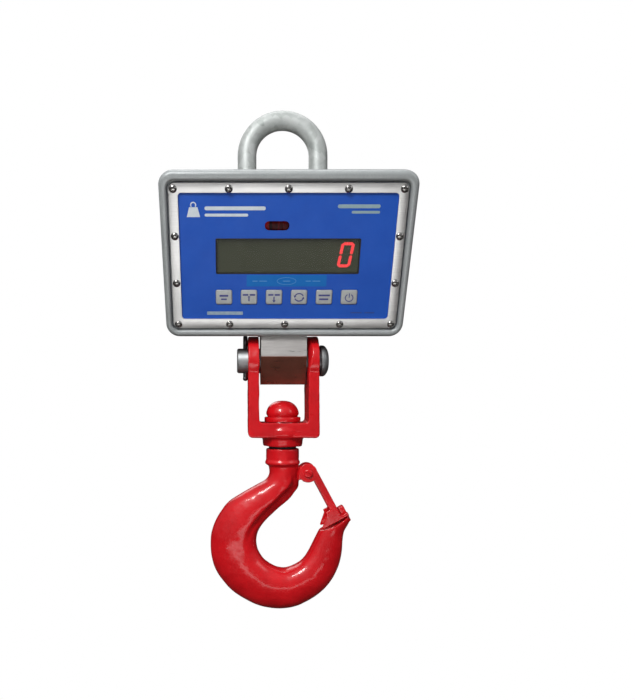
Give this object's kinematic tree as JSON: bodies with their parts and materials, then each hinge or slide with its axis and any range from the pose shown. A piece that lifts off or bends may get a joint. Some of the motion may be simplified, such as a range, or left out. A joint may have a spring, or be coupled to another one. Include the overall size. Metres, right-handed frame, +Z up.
{
  "type": "crane scale",
  "caption": "Hanging crane scale: shackle, load cell in a tilted display housing with keys and bezel, yoke, and a swivelling safety hook with a sprung latch.",
  "frame": {"origin": "seat in the crown of the shackle bow, where a lifting hook carries the scale", "axes": "+Z up along the load line, -Y towards the reader of the display, +X to the reader's right"},
  "size_m": [0.236, 0.1312, 0.511],
  "materials": {
    "galvanised_steel": "galvanised, soft sheen",
    "plated_steel": "zinc plated, dulled",
    "dark_steel": "oiled, dark",
    "stainless_steel": "brushed stainless",
    "bezel_steel": "fine brushed stainless",
    "screw_steel": "bright stainless",
    "bearing_steel": "polished",
    "cast_grey": "grey enamel on cast aluminium",
    "bracket_aluminium": "machined",
    "black_rubber": "matt",
    "panel_blue": "blue film on plate, satin",
    "display_tint": "olive tinted window",
    "display_black": "matt",
    "led_red": "lit segments",
    "infrared_red": "dark red filter",
    "black_plastic": "matt",
    "board_green": "solder mask",
    "brass": "turned",
    "key_silver": "silver film, satin",
    "connector_white": "moulded",
    "cable_black": "sheath",
    "red_enamel": "gloss red enamel on forged steel"
  },
  "bodies": {
    "shackle": {"shackle_bow": "galvanised_steel", "shackle_pin": "plated_steel", "shackle_nut": "plated_steel", "shackle_cotter": "dark_steel"},
    "scale_body": {"shackle_spacers": "dark_steel", "load_cell": "stainless_steel", "gauge_covers": "stainless_steel", "cell_brackets": "bracket_aluminium", "bracket_bolts": "plated_steel", "housing": "cast_grey", "cell_seals": "black_rubber", "rear_cover": "cast_grey", "rear_gasket": "black_rubber", "rear_cover_screws": "screw_steel", "front_panel": "panel_blue", "front_gasket": "black_rubber", "bezel_frame": "bezel_steel", "bezel_screws": "screw_steel", "display_window": "display_tint", "display_module": "display_black", "digit_segments": "led_red", "infrared_window": "infrared_red", "infrared_receiver": "black_plastic", "main_board": "board_green", "board_standoffs": "brass", "board_screws": "screw_steel", "keypad_board": "board_green", "switch_domes": "screw_steel", "battery_left": "black_plastic", "battery_right": "black_plastic", "battery_straps": "bracket_aluminium", "cell_cable": "cable_black", "cable_plug": "connector_white"},
    "yoke_body": {"yoke": "red_enamel", "clevis_pin": "plated_steel", "clevis_cotter": "dark_steel", "clevis_washer": "dark_steel", "bearing_lower_race": "bearing_steel"},
    "hook_body": {"hook": "red_enamel", "swivel_nut": "red_enamel", "nut_lock_pin": "plated_steel", "swivel_washer": "red_enamel", "bearing_balls": "bearing_steel", "bearing_upper_race": "bearing_steel", "swivel_seal": "black_rubber", "latch_bolt": "red_enamel", "latch_nut": "red_enamel", "latch_spring": "plated_steel"},
    "latch_body": {"latch": "red_enamel"},
    "key_hold_body": {"key_hold": "key_silver"},
    "key_net_gross_body": {"key_net_gross": "key_silver"},
    "key_tare_body": {"key_tare": "key_silver"},
    "key_cycle_body": {"key_cycle": "key_silver"},
    "key_units_body": {"key_units": "key_silver"},
    "key_power_body": {"key_power": "key_silver"}
  },
  "joints": [
    {"name": "shackle_swing", "type": "hinge", "parent": "shackle", "child": "scale_body", "pos_m": [0, 0, -0.069], "axis": [1, 0, 0], "range_deg": [-75, 75]},
    {"name": "yoke_swing", "type": "hinge", "parent": "scale_body", "child": "yoke_body", "pos_m": [0, 0, -0.2375], "axis": [1, 0, 0], "range_deg": [-75, 75]},
    {"name": "hook_swivel", "type": "hinge", "parent": "yoke_body", "child": "hook_body", "pos_m": [0, 0, -0.3], "axis": [0, 0, 1], "continuous": true},
    {"name": "latch_hinge", "type": "hinge", "parent": "hook_body", "child": "latch_body", "pos_m": [0.0254, 0, -0.352], "axis": [0, 1, 0], "range_deg": [0, 50], "stiffness_Nm_per_rad": 0.15, "springref_deg": -45.84},
    {"name": "key_hold_press", "type": "slide", "parent": "scale_body", "child": "key_hold_body", "axis": [0, 0.9157, 0.402], "range_m": [0, 0.0006], "stiffness_N_per_m": 1500},
    {"name": "key_net_gross_press", "type": "slide", "parent": "scale_body", "child": "key_net_gross_body", "axis": [0, 0.9157, 0.402], "range_m": [0, 0.0006], "stiffness_N_per_m": 1500},
    {"name": "key_tare_press", "type": "slide", "parent": "scale_body", "child": "key_tare_body", "axis": [0, 0.9157, 0.402], "range_m": [0, 0.0006], "stiffness_N_per_m": 1500},
    {"name": "key_cycle_press", "type": "slide", "parent": "scale_body", "child": "key_cycle_body", "axis": [0, 0.9157, 0.402], "range_m": [0, 0.0006], "stiffness_N_per_m": 1500},
    {"name": "key_units_press", "type": "slide", "parent": "scale_body", "child": "key_units_body", "axis": [0, 0.9157, 0.402], "range_m": [0, 0.0006], "stiffness_N_per_m": 1500},
    {"name": "key_power_press", "type": "slide", "parent": "scale_body", "child": "key_power_body", "axis": [0, 0.9157, 0.402], "range_m": [0, 0.0006], "stiffness_N_per_m": 1500}
  ]
}
